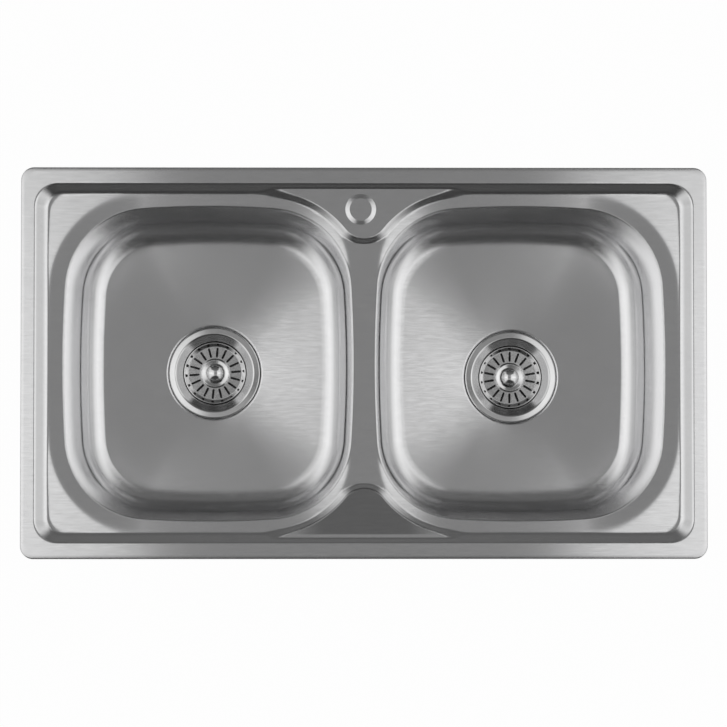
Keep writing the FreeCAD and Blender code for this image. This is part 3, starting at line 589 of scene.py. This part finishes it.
mark_middle = Vector((-0.0040, 0.1750))
bm = bmesh.new()
mark_profile = [
    (0.0190, ledge_level - 0.0003),
    (0.0183, ledge_level - 0.0001),
    (0.0127, ledge_level + 0.0006),
    (0.0003, ledge_level + 0.0006),
]
turned(bm, softened(mark_profile, 0.0005), mark_middle, 96)
bmesh.ops.recalc_face_normals(bm, faces=bm.faces)
if sum(face.normal.z for face in bm.faces) < 0.0:
    bmesh.ops.reverse_faces(bm, faces=bm.faces)
flat_grain(bm)
finish_mesh("tap_mark_round", bm, "sink", deck_steel)

# ------------------------------------------------------------------------------- rim seal
# A strip of closed-cell foam rubber glued under the rim, between the steel and the worktop.


def dusty_grain_group():
    """Fine pores or moulding grain with slow darker and lighter patches."""
    group = bpy.data.node_groups.new("dusty grain", "ShaderNodeTree")
    face = group.interface
    face.new_socket(name="Place", in_out="INPUT", socket_type="NodeSocketVector")
    face.new_socket(name="Fineness", in_out="INPUT", socket_type="NodeSocketFloat")
    for name in ("Grain", "Patches"):
        face.new_socket(name=name, in_out="OUTPUT", socket_type="NodeSocketFloat")
    start = group.nodes.new("NodeGroupInput")
    end = group.nodes.new("NodeGroupOutput")
    for name, share, detail in (("Grain", 1.0, 2.0), ("Patches", 0.04, 4.0)):
        size = group.nodes.new("ShaderNodeMath")
        size.operation = "MULTIPLY"
        size.inputs[1].default_value = share
        noise = group.nodes.new("ShaderNodeTexNoise")
        noise.inputs["Detail"].default_value = detail
        group.links.new(start.outputs["Fineness"], size.inputs[0])
        group.links.new(size.outputs[0], noise.inputs["Scale"])
        group.links.new(start.outputs["Place"], noise.inputs["Vector"])
        group.links.new(noise.outputs["Fac"], end.inputs[name])
    return group


dusty_grain = dusty_grain_group()


def moulded_finish(name, dark, light, metallic, rough, rougher, fineness, depth):
    """A cast, moulded, plated or rolled finish: patchy colour, uneven shine and a fine grain."""
    material, tree, shader, place = new_material(name, light, metallic, rough)
    grain = tree.nodes.new("ShaderNodeGroup")
    grain.node_tree = dusty_grain
    grain.inputs["Fineness"].default_value = fineness
    tree.links.new(place, grain.inputs["Place"])
    tone = tree.nodes.new("ShaderNodeMix")
    tone.data_type = "RGBA"
    tone.inputs["A"].default_value = (*dark, 1.0)
    tone.inputs["B"].default_value = (*light, 1.0)
    tree.links.new(grain.outputs["Patches"], tone.inputs["Factor"])
    tree.links.new(tone.outputs["Result"], shader.inputs["Base Color"])
    shine = tree.nodes.new("ShaderNodeMapRange")
    shine.inputs["From Min"].default_value = 0.3
    shine.inputs["From Max"].default_value = 0.7
    shine.inputs["To Min"].default_value = rough
    shine.inputs["To Max"].default_value = rougher
    tree.links.new(grain.outputs["Grain"], shine.inputs["Value"])
    tree.links.new(shine.outputs["Result"], shader.inputs["Roughness"])
    relief = tree.nodes.new("ShaderNodeBump")
    relief.inputs["Strength"].default_value = 0.5
    relief.inputs["Distance"].default_value = depth
    tree.links.new(grain.outputs["Grain"], relief.inputs["Height"])
    tree.links.new(relief.outputs["Normal"], shader.inputs["Normal"])
    return material


def refinish(nodes, material):
    """Give pieces whose shape is already right their finish."""
    for node in nodes:
        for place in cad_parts[node].material_slots:
            place.material = material


foam = moulded_finish(
    "foam_strip", (0.035, 0.035, 0.036), (0.060, 0.060, 0.062), 0.0, 0.80, 0.95, 2600.0, 0.0002
)
refinish(["rim_seal"], foam)

# ------------------------------------------------------------------------- sound pads
# A bitumen and rubber sheet glued under each bowl floor, which deadens the drumming of
# water.  It is cut open round the waste.
pad_rubber = moulded_finish(
    "damping_sheet", (0.10, 0.10, 0.105), (0.16, 0.16, 0.165), 0.0, 0.60, 0.80, 1400.0, 0.0002
)
refinish(["left_sound_pad", "right_sound_pad"], pad_rubber)

# ------------------------------------------------------------------------- clip rails
# Folded steel channels spot-welded under the recess.  Each holds two fixing clips, which
# can slide along its slot.
rail_steel = moulded_finish(
    "folded_rail_steel", (0.40, 0.40, 0.41), (0.56, 0.56, 0.57), 1.0, 0.34, 0.52, 900.0, 0.00003
)
refinish([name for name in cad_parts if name.endswith("_rail")], rail_steel)

# ----------------------------------------------------------------------- fixing clips
# Bolt, bent claw and nut pull the rim down on the worktop from below.  All three are
# zinc-plated steel, with the dull bloom and bright rubs that plating has.
zinc = moulded_finish(
    "zinc_plating", (0.46, 0.47, 0.50), (0.68, 0.69, 0.72), 1.0, 0.26, 0.48, 700.0, 0.00003
)
refinish(["clip_bolts", "clip_claws", "clip_nuts"], zinc)

# --------------------------------------------------------------------- strainer flange
# A pressed and polished steel cup: flat ring in the drain seat, short cone, straight throat,
# the seat of the stopper and a port with six water holes round the screw.
polished = moulded_finish(
    "polished_steel", (0.66, 0.66, 0.66), (0.82, 0.82, 0.82), 1.0, 0.06, 0.11, 500.0, 0.000004
)
# Below the basket the cup is darkened to near black with painted shade, since the slots look dark
# in the photograph.
paint_shade(
    polished, 0.90, (("Z", False, FLOOR_LEVEL - 0.0125, FLOOR_LEVEL - 0.0200),), tone=0.02
)


def pierced_sector(bm, middle, turn, inner, outer, opening, count, steps):
    """One sector of a round plate with an opening in it, as a strip round the opening."""
    half = math.pi / count
    border = []
    edges = ((0, -half, half), (1, inner, outer), (2, half, -half), (3, outer, inner))
    for side, start, finish in edges:
        for step in range(steps):
            value = start + (finish - start) * step / steps
            radius = (inner, value, outer, value)[side]
            angle = (value, half, value, -half)[side]
            border.append((radius * math.cos(angle), radius * math.sin(angle)))
    columns = len(border)
    grid = bmesh.ops.create_grid(bm, x_segments=columns, y_segments=1, size=1.0)
    for number, vert in enumerate(grid["verts"]):
        x, y = (border, opening)[number // (columns + 1)][number % (columns + 1) % columns]
        east, north = math.cos(turn), math.sin(turn)
        vert.co = (middle.x + x * east - y * north, middle.y + x * north + y * east, 0.0)


cup_sheet = 0.0008
port_level = -0.0300
for side in ("left", "right"):
    middle = DRAIN_MIDDLE[side]
    bm = bmesh.new()
    for sector in range(6):
        hole = []
        for step in range(32):
            turn = math.radians(225.0) - 2.0 * math.pi * step / 32
            hole.append((0.0145 + 0.0052 * math.cos(turn), 0.0052 * math.sin(turn)))
        turn = 2.0 * math.pi * sector / 6
        pierced_sector(bm, middle, turn, 0.0034, 0.0206, hole, 6, 8)
    for vert in bm.verts:
        vert.co.z = port_level
    flange_profile = [
        (0.0206, port_level),
        (0.0220, port_level),
        (0.0220, -0.0260),
        (0.0380, -0.0260),
        (0.0380, -0.0060),
        (0.0465, 0.0),
        (0.0541, -0.0003),
        (0.0544, -0.0026),
    ]
    turned(bm, softened(flange_profile, 0.0012), middle, 96, math.pi / 6)
    bmesh.ops.remove_doubles(bm, verts=bm.verts, dist=0.00004)
    bmesh.ops.recalc_face_normals(bm, faces=bm.faces)
    if sum(face.normal.z * face.calc_area() for face in bm.faces) < 0.0:
        bmesh.ops.reverse_faces(bm, faces=bm.faces)
    bmesh.ops.translate(bm, verts=bm.verts, vec=(0.0, 0.0, FLOOR_LEVEL))
    bmesh.ops.solidify(bm, geom=bm.faces[:], thickness=cup_sheet)
    piece = finish_mesh(f"{side}_flange_steel", bm, "sink", polished, 40.0)
    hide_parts(f"{side}_strainer_flange")

# ------------------------------------------------------------------------------ seals
# Black rubber rings squeezed between flange, bowl and waste body.  Only their edges show.
seal_rubber = moulded_finish(
    "seal_rubber", (0.020, 0.020, 0.021), (0.045, 0.045, 0.047), 0.0, 0.50, 0.70, 1800.0, 0.00005
)
refinish(
    [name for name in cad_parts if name.endswith(("flange_seal", "body_seal"))], seal_rubber
)

# ------------------------------------------------------------------------ waste bodies
# Moulded off-white plastic cups with a funnel and a threaded outlet for the trap.
waste_plastic = moulded_finish(
    "moulded_waste", (0.74, 0.74, 0.72), (0.82, 0.82, 0.80), 0.0, 0.34, 0.46, 1200.0, 0.00004
)
refinish(["left_waste_body", "right_waste_body"], waste_plastic)

# --------------------------------------------------------------- screws and their inserts
# A steel screw through the port pulls the flange down on a brass nut moulded in the hub.
screw_steel = moulded_finish(
    "screw_steel", (0.48, 0.48, 0.49), (0.62, 0.62, 0.63), 1.0, 0.22, 0.34, 900.0, 0.00002
)
refinish(["left_centre_screw", "right_centre_screw"], screw_steel)
turned_brass = moulded_finish(
    "turned_brass", (0.62, 0.47, 0.22), (0.78, 0.62, 0.33), 1.0, 0.24, 0.38, 900.0, 0.00002
)
refinish(["left_thread_insert", "right_thread_insert"], turned_brass)

# --------------------------------------------------------------------- basket stoppers
# A grey-black rubber disc under the basket.  It seals on the flange when the basket is down.
stopper_rubber = moulded_finish(
    "stopper_rubber", (0.030, 0.030, 0.031), (0.060, 0.060, 0.062), 0.0, 0.45, 0.65, 1500.0, 0.00005
)
refinish(["left_basket_stopper", "right_basket_stopper"], stopper_rubber)

# ------------------------------------------------------------------------- basket cups
# A thin pressed strainer that lifts out.  Beaded rim, sloped wall, a floor with eighteen
# radial slots and a raised boss in the middle under the knob.
basket_sheet = 0.0006
basket_floor = -0.0164
slots = 18
slot_start = 0.0204
slot_end = 0.0298
slot_half = 0.0013
cup_columns = 108
cup_wall = [
    (0.0318, basket_floor),
    (0.0324, basket_floor),
    (0.0352, -0.0064),
    (0.0356, -0.0054),
    (0.0368, -0.0054),
    (0.0374, -0.0066),
]
cup_boss = [(0.0026, -0.0146), (0.0166, -0.0134), (0.0179, basket_floor)]
SLOT_TURN = {"left": math.radians(4.5), "right": math.radians(9.5)}
basket_polish = moulded_finish(
    "polished_basket", (0.68, 0.68, 0.68), (0.86, 0.86, 0.86), 1.0, 0.06, 0.12, 700.0, 0.000004
)
for side in ("left", "right"):
    middle = DRAIN_MIDDLE[side]
    bm = bmesh.new()
    slot = []
    for step in range(6):
        turn = math.pi * (1.5 - step / 6)
        slot.append((slot_start + slot_half * math.cos(turn), slot_half * math.sin(turn)))
    slot += [(slot_start + (slot_end - slot_start) * step / 6, slot_half) for step in range(6)]
    for step in range(6):
        turn = math.pi * (0.5 - step / 6)
        slot.append((slot_end + slot_half * math.cos(turn), slot_half * math.sin(turn)))
    slot += [(slot_end + (slot_start - slot_end) * step / 6, -slot_half) for step in range(6)]
    for sector in range(slots):
        turn = 2.0 * math.pi * sector / slots + SLOT_TURN[side]
        pierced_sector(bm, middle, turn, 0.0179, 0.0318, slot, slots, 6)
    for vert in bm.verts:
        vert.co.z = basket_floor
    seam = SLOT_TURN[side] + math.pi / slots
    turned(bm, softened(cup_wall, 0.0010), middle, cup_columns, seam)
    turned(bm, softened(cup_boss, 0.0008), middle, cup_columns, seam)
    bmesh.ops.remove_doubles(bm, verts=bm.verts, dist=0.00012)
    bmesh.ops.recalc_face_normals(bm, faces=bm.faces)
    if sum(face.normal.z * face.calc_area() for face in bm.faces) < 0.0:
        bmesh.ops.reverse_faces(bm, faces=bm.faces)
    bmesh.ops.translate(bm, verts=bm.verts, vec=(0.0, 0.0, FLOOR_LEVEL))
    bmesh.ops.solidify(bm, geom=bm.faces[:], thickness=basket_sheet)
    body = f"{side}_basket"
    cup = finish_mesh(f"{side}_cup_steel", bm, body, basket_polish, 40.0)
    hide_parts(f"{side}_basket_cup")

# -------------------------------------------------------------------- stems and knobs
# The knob is turned from solid steel and polished: a narrow neck on the boss, a waist and a
# low domed head to grip.  Its stem runs down to the stopper.
refinish(["left_basket_stem", "right_basket_stem"], screw_steel)
for side in ("left", "right"):
    middle = DRAIN_MIDDLE[side]
    bm = bmesh.new()
    knob_profile = [(0.0027, -0.0144), (0.0050, -0.0142), (0.0050, -0.0070), (0.0098, -0.0066)]
    knob_profile = softened(knob_profile, 0.0008)
    for step in range(1, 13):
        turn = math.pi / 2 * step / 12
        knob_profile.append((0.0105 * math.cos(turn) ** 0.62, -0.0048 + 0.0058 * math.sin(turn)))
    knob_profile[-1] = (0.0, 0.0010)
    turned(bm, knob_profile, middle, 48)
    bmesh.ops.remove_doubles(bm, verts=bm.verts, dist=0.00002)
    bmesh.ops.recalc_face_normals(bm, faces=bm.faces)
    bmesh.ops.translate(bm, verts=bm.verts, vec=(0.0, 0.0, FLOOR_LEVEL))
    body = f"{side}_basket"
    knob = finish_mesh(f"{side}_knob_steel", bm, body, basket_polish, 40.0)
    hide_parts(f"{side}_basket_knob")

# ------------------------------------------------------------------------------ stage
# A white floor under the sink, a plain studio round it and the camera almost straight above.
# The levels of the lamps and the ceiling are set to match the photograph.
floor_bm = bmesh.new()
bmesh.ops.create_grid(floor_bm, x_segments=8, y_segments=8, size=6.0)
floor_mesh = bpy.data.meshes.new("studio_floor")
bmesh.ops.translate(floor_bm, verts=floor_bm.verts, vec=(0.0, 0.0, cad_box[0].z - 0.0005))
floor_bm.to_mesh(floor_mesh)
floor_bm.free()
floor = bpy.data.objects.new("studio_floor", floor_mesh)
bpy.context.scene.collection.objects.link(floor)
floor_paint, tree, shader, place = new_material("floor_paint", (0.90, 0.90, 0.90), 0.0, 0.9)
glow = tree.nodes.new("ShaderNodeEmission")
glow.inputs["Color"].default_value = (1.0, 1.0, 1.0, 1.0)
ray = tree.nodes.new("ShaderNodeLightPath")
mix = tree.nodes.new("ShaderNodeMixShader")
share = tree.nodes.new("ShaderNodeMath")
share.operation = "MULTIPLY"
share.inputs[1].default_value = 0.98
tree.links.new(ray.outputs["Is Camera Ray"], share.inputs[0])
tree.links.new(share.outputs[0], mix.inputs["Fac"])
tree.links.new(shader.outputs[0], mix.inputs[1])
tree.links.new(glow.outputs[0], mix.inputs[2])
tree.links.new(mix.outputs[0], tree.nodes["Material Output"].inputs["Surface"])
floor_mesh.materials.append(floor_paint)

world = bpy.data.worlds.new("studio")
bpy.context.scene.world = world
world.use_nodes = True
tree = world.node_tree
background = tree.nodes["Background"]
direction = tree.nodes.new("ShaderNodeTexCoord")
split = tree.nodes.new("ShaderNodeSeparateXYZ")
tree.links.new(direction.outputs["Generated"], split.inputs[0])


def world_math(operation, first, second):
    """One step of arithmetic on the direction, from a socket and a socket or number."""
    step = tree.nodes.new("ShaderNodeMath")
    step.operation = operation
    step.inputs[2].default_value = 0.5
    for place, value in enumerate((first, second)):
        if isinstance(value, float):
            step.inputs[place].default_value = value
        elif value is not None:
            tree.links.new(value, step.inputs[place])
    return step.outputs[0]


def world_levels(place, stops, interpolation):
    """A row of light levels along one direction."""
    ramp = tree.nodes.new("ShaderNodeValToRGB")
    ramp.color_ramp.interpolation = interpolation
    while len(ramp.color_ramp.elements) < len(stops):
        ramp.color_ramp.elements.new(0.5)
    for element, (position, level) in zip(ramp.color_ramp.elements, stops):
        element.position = position
        element.color = (level / 2.0, level / 2.0, level / 2.0, 1.0)
    tree.links.new(place, ramp.inputs["Fac"])
    return ramp.outputs["Color"]


sideways = world_math("ABSOLUTE", world_math("ADD", split.outputs["X"], -0.0085), None)
depth = world_math("MULTIPLY", split.outputs["Y"], split.outputs["Y"])
depth = world_math("MAXIMUM", world_math("SUBTRACT", depth, 0.012), 0.0)
lamps = world_levels(
    sideways,
    (
        (0.0, 0.78),
        (0.086, 0.94),
        (0.118, 1.06),
        (0.20, 1.12),
        (0.55, 1.10),
        (0.75, 0.92),
        (0.88, 0.64),
        (1.0, 0.80),
    ),
    "LINEAR",
)
ceiling = world_levels(
    world_math("MULTIPLY_ADD", split.outputs["Y"], 0.5),
    (
        (0.0, 0.10),
        (0.10, 0.05),
        (0.42, 0.05),
        (0.453, 0.34),
        (0.480, 0.40),
        (0.4915, 0.20),
        (0.503, 0.21),
        (0.54, 0.34),
        (0.59, 0.16),
        (0.75, 0.10),
        (1.0, 0.15),
    ),
    "LINEAR",
)
edge = tree.nodes.new("ShaderNodeMapRange")
edge.interpolation_type = "SMOOTHSTEP"
tree.links.new(sideways, edge.inputs["Value"])
shallow = world_math("MINIMUM", depth, 0.10)
steep = world_math("MAXIMUM", world_math("SUBTRACT", depth, 0.10), 0.0)
for socket, first, near_share, far_share in (
    ("From Min", 0.067, 1.8, 0.3),
    ("From Max", 0.085, 4.0, 1.2),
):
    limit = world_math("ADD", world_math("MULTIPLY", shallow, near_share), first)
    limit = world_math("ADD", world_math("MULTIPLY", steep, far_share), limit)
    tree.links.new(limit, edge.inputs[socket])
falloff = tree.nodes.new("ShaderNodeMapRange")
falloff.interpolation_type = "SMOOTHSTEP"
falloff.inputs["From Min"].default_value = 0.02
falloff.inputs["From Max"].default_value = 0.12
falloff.inputs["To Min"].default_value = 1.0
falloff.inputs["To Max"].default_value = 0.76
away_from_lamps = world_math("ABSOLUTE", world_math("SUBTRACT", split.outputs["Y"], 0.01), None)
tree.links.new(away_from_lamps, falloff.inputs["Value"])
lit = tree.nodes.new("ShaderNodeVectorMath")
lit.operation = "SCALE"
tree.links.new(lamps, lit.inputs[0])
tree.links.new(falloff.outputs["Result"], lit.inputs["Scale"])
room = tree.nodes.new("ShaderNodeMix")
room.data_type = "RGBA"
tree.links.new(edge.outputs["Result"], room.inputs["Factor"])
tree.links.new(ceiling, room.inputs["A"])
tree.links.new(lit.outputs[0], room.inputs["B"])
seen = tree.nodes.new("ShaderNodeLightPath")
paper = tree.nodes.new("ShaderNodeMix")
paper.data_type = "RGBA"
paper.inputs["B"].default_value = (0.5, 0.5, 0.5, 1.0)
tree.links.new(seen.outputs["Is Camera Ray"], paper.inputs["Factor"])
tree.links.new(room.outputs["Result"], paper.inputs["A"])
tree.links.new(paper.outputs["Result"], background.inputs["Color"])
background.inputs["Strength"].default_value = 2.0

camera_data = bpy.data.cameras.new("camera")
camera = bpy.data.objects.new("camera", camera_data)
bpy.context.scene.collection.objects.link(camera)
camera_data.sensor_width = 36.0
camera_data.lens = 137.4
camera_data.clip_end = 30.0
camera.location = (-0.0360, -0.0909, 3.1528)
aim = (Vector((-0.0009, -0.0007, rim_level)) - camera.location).normalized()
right = aim.cross(Vector((0.0, 1.0, 0.0))).normalized()
camera.rotation_mode = "QUATERNION"
camera.rotation_quaternion = Matrix((right, right.cross(aim), -aim)).transposed().to_quaternion()
bpy.context.scene.camera = camera
bpy.context.scene.view_settings.view_transform = "Standard"
